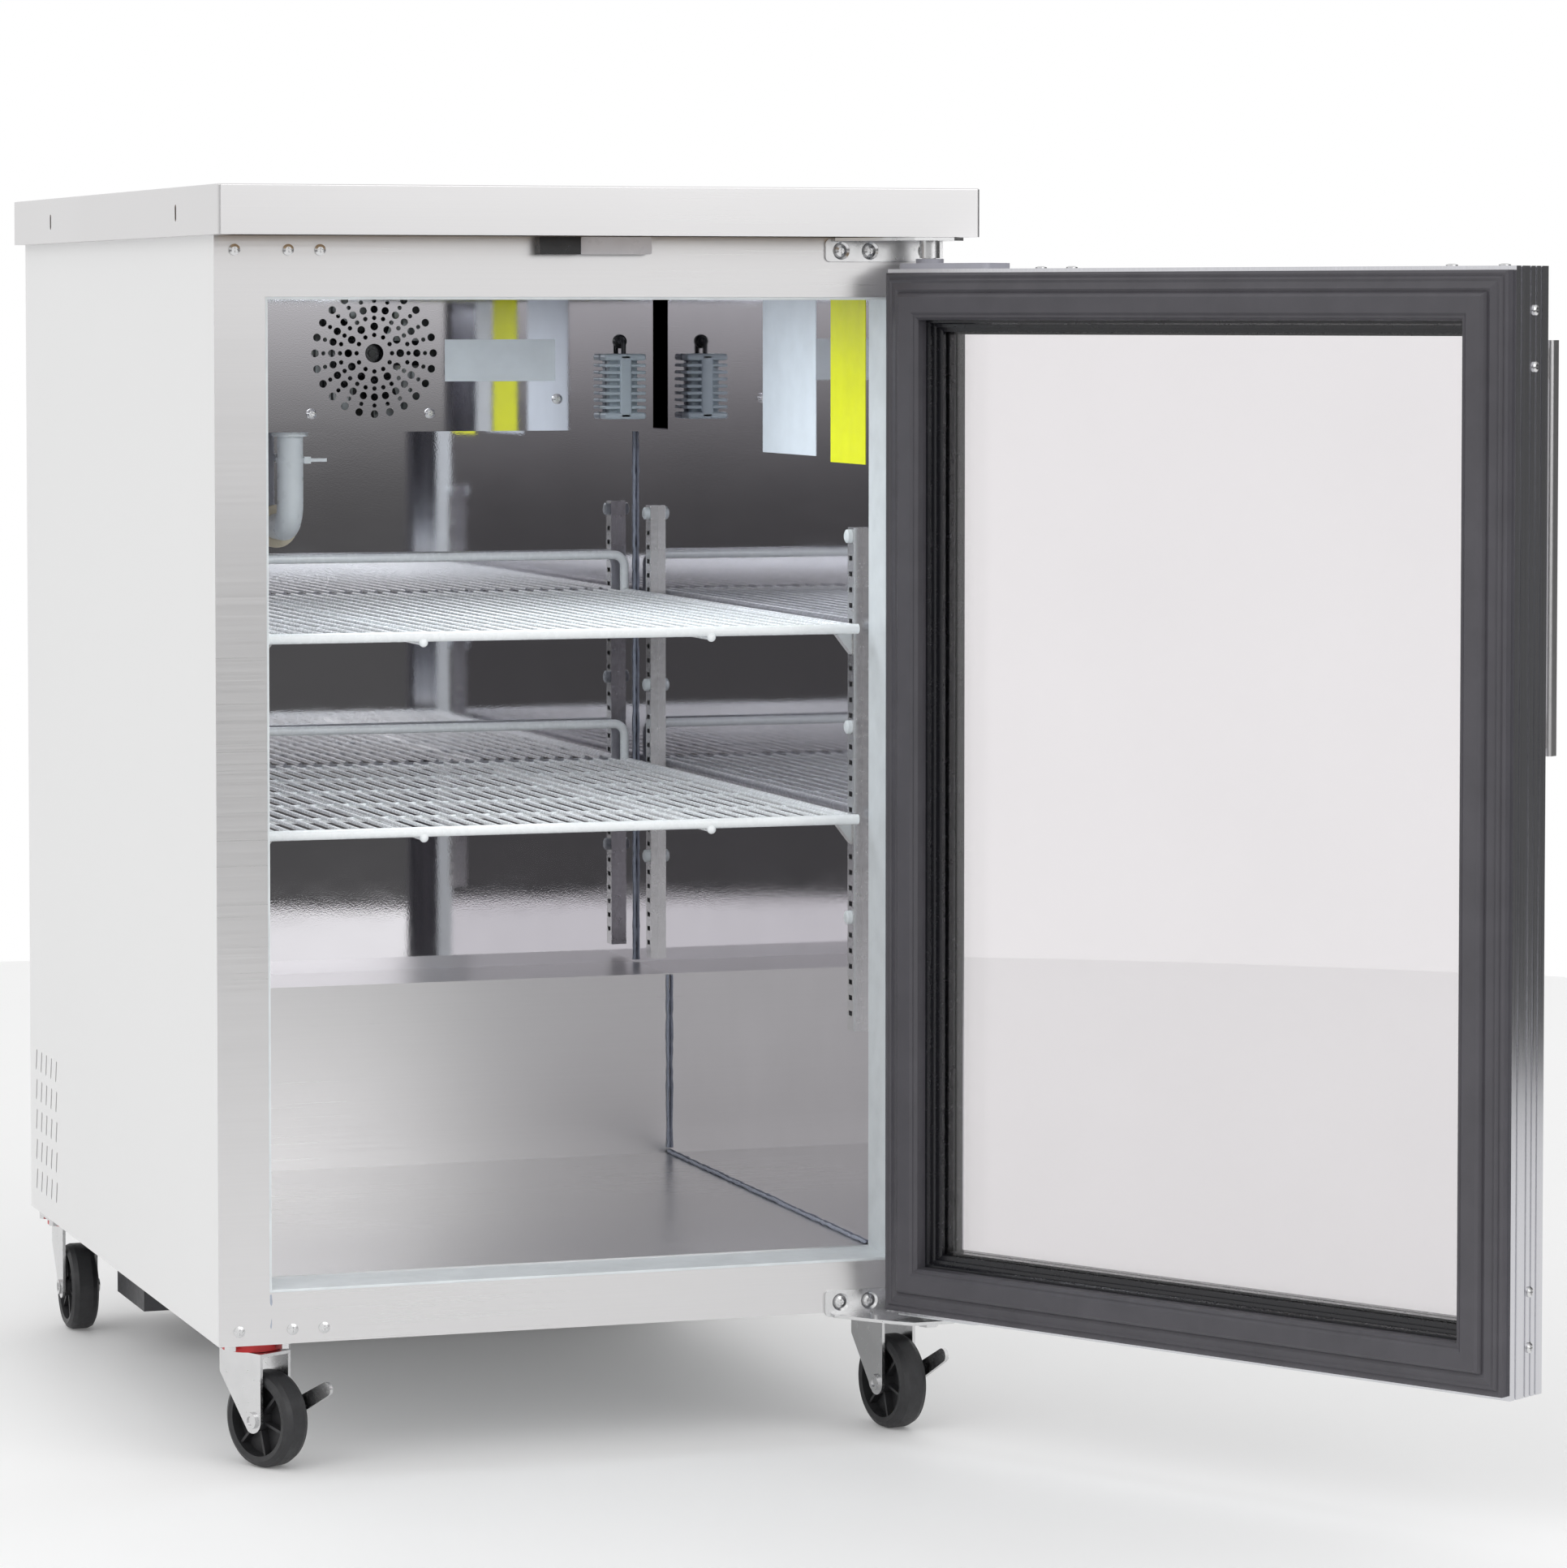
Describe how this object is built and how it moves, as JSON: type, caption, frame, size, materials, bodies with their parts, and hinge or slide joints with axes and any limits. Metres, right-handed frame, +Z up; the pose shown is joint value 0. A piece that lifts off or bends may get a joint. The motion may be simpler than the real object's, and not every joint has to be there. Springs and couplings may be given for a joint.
{
  "type": "undercounter refrigerator",
  "caption": "Undercounter refrigerator on swivel casters, with a stainless worktop, a glazed hinged door, wire shelves and a fan-cooled cabinet.",
  "frame": {"origin": "on the floor, under the centre of the cabinet body (body 590 wide, 750 deep)", "axes": "+Z up, -Y towards the person who opens the door, +X to that person's right, on the hinge side"},
  "size_m": [0.9062, 1.2954, 0.991],
  "materials": {
    "polished_steel": "polished",
    "brushed_steel": "satin",
    "white_panel": "satin",
    "galvanised": "satin",
    "zinc": "satin",
    "aluminium": "satin",
    "dark_tray": "satin",
    "gasket": "satin",
    "black_plastic": "satin",
    "wheel_black": "satin",
    "white_coating": "gloss",
    "white_plastic": "satin",
    "grey_plastic": "satin",
    "glass": "gloss",
    "red_seal": "satin",
    "sealant": "satin",
    "foam": "matte",
    "plywood": "matte",
    "label": "matte",
    "copper": "satin",
    "black_paint": "satin",
    "fins": "satin"
  },
  "bodies": {
    "cabinet": {"worktop_skin": "brushed_steel", "worktop_core": "plywood", "side_panel_left": "white_panel", "side_panel_right": "white_panel", "rear_panel": "galvanised", "rear_grille": "galvanised", "base_pan": "galvanised", "columns": "brushed_steel", "cross_rails": "brushed_steel", "breaker_strips": "white_plastic", "liner_walls": "polished_steel", "liner_floor": "brushed_steel", "liner_step": "brushed_steel", "insulation_foam": "foam", "sealant_beads": "sealant", "blank_labels": "label", "evaporator_cover": "polished_steel", "evaporator_coil": "fins", "evaporator_fan_motor": "black_paint", "temperature_sensor": "grey_plastic", "drain_elbow": "white_plastic", "pilasters": "zinc", "pilaster_knobs": "white_plastic", "shelf_clips": "zinc", "hinge_brackets": "zinc", "hinge_pins": "zinc", "body_screws": "zinc", "door_switch": "black_plastic", "machine_tray": "dark_tray", "compressor": "black_paint", "condenser_coil": "fins", "condenser_fan_motor": "black_paint", "refrigerant_pipes": "copper", "control_box": "galvanised", "cord_inlet": "black_plastic", "caster_plates": "zinc", "caster_seals": "red_seal"},
    "door": {"door_frame": "aluminium", "door_gasket": "gasket", "glazing_frame": "black_plastic", "glass_panes": "glass", "glass_spacers": "black_plastic", "door_handle": "brushed_steel", "hinge_plates": "grey_plastic", "door_fasteners": "zinc"},
    "evaporator_fan": {"evaporator_fan": "black_plastic"},
    "condenser_fan": {"condenser_fan": "black_plastic"},
    "shelf_upper": {"shelf_upper": "white_coating"},
    "shelf_lower": {"shelf_lower": "white_coating"},
    "fork_front_left": {"caster_fork_front_left": "zinc"},
    "wheel_front_left": {"caster_wheel_front_left": "wheel_black"},
    "brake_front_left": {"brake_lever_front_left": "zinc"},
    "fork_front_right": {"caster_fork_front_right": "zinc"},
    "wheel_front_right": {"caster_wheel_front_right": "wheel_black"},
    "brake_front_right": {"brake_lever_front_right": "zinc"},
    "fork_rear_left": {"caster_fork_rear_left": "zinc"},
    "wheel_rear_left": {"caster_wheel_rear_left": "wheel_black"},
    "fork_rear_right": {"caster_fork_rear_right": "zinc"},
    "wheel_rear_right": {"caster_wheel_rear_right": "wheel_black"}
  },
  "joints": [
    {"name": "door_hinge", "type": "hinge", "parent": "cabinet", "child": "door", "pos_m": [0.27, -0.414, 0.5], "axis": [0, 0, 1], "range_deg": [-121.2, 8]},
    {"name": "shelf_upper_lift", "type": "slide", "parent": "cabinet", "child": "shelf_upper", "axis": [0, 0, 1], "range_m": [0, 0.01]},
    {"name": "shelf_lower_lift", "type": "slide", "parent": "cabinet", "child": "shelf_lower", "axis": [0, 0, 1], "range_m": [0, 0.01]},
    {"name": "evaporator_fan_spin", "type": "hinge", "parent": "cabinet", "child": "evaporator_fan", "pos_m": [-0.01, 0.26, 0.858], "axis": [0, 1, 0], "continuous": true},
    {"name": "condenser_fan_spin", "type": "hinge", "parent": "cabinet", "child": "condenser_fan", "pos_m": [-0.221, 0.312, 0.184], "axis": [1, 0, 0], "continuous": true},
    {"name": "swivel_front_left", "type": "hinge", "parent": "cabinet", "child": "fork_front_left", "pos_m": [-0.259, -0.33, 0.09], "axis": [0, 0, 1], "continuous": true},
    {"name": "roll_front_left", "type": "hinge", "parent": "fork_front_left", "child": "wheel_front_left", "pos_m": [-0.25055, -0.34589, 0.0375], "axis": [0.8829, 0.4695, 0], "continuous": true},
    {"name": "brake_front_left", "type": "hinge", "parent": "fork_front_left", "child": "brake_front_left", "pos_m": [-0.25055, -0.34589, 0.0375], "axis": [0.8829, 0.4695, 0], "range_deg": [0, 16]},
    {"name": "swivel_front_right", "type": "hinge", "parent": "cabinet", "child": "fork_front_right", "pos_m": [0.259, -0.33, 0.09], "axis": [0, 0, 1], "continuous": true},
    {"name": "roll_front_right", "type": "hinge", "parent": "fork_front_right", "child": "wheel_front_right", "pos_m": [0.26274, -0.34761, 0.0375], "axis": [0.9781, 0.2079, 0], "continuous": true},
    {"name": "brake_front_right", "type": "hinge", "parent": "fork_front_right", "child": "brake_front_right", "pos_m": [0.26274, -0.34761, 0.0375], "axis": [0.9781, 0.2079, 0], "range_deg": [0, 16]},
    {"name": "swivel_rear_left", "type": "hinge", "parent": "cabinet", "child": "fork_rear_left", "pos_m": [-0.267, 0.325, 0.09], "axis": [0, 0, 1], "continuous": true},
    {"name": "roll_rear_left", "type": "hinge", "parent": "fork_rear_left", "child": "wheel_rear_left", "pos_m": [-0.267, 0.307, 0.0375], "axis": [1, 0, 0], "continuous": true},
    {"name": "swivel_rear_right", "type": "hinge", "parent": "cabinet", "child": "fork_rear_right", "pos_m": [0.267, 0.325, 0.09], "axis": [0, 0, 1], "continuous": true},
    {"name": "roll_rear_right", "type": "hinge", "parent": "fork_rear_right", "child": "wheel_rear_right", "pos_m": [0.267, 0.307, 0.0375], "axis": [1, 0, 0], "continuous": true}
  ]
}
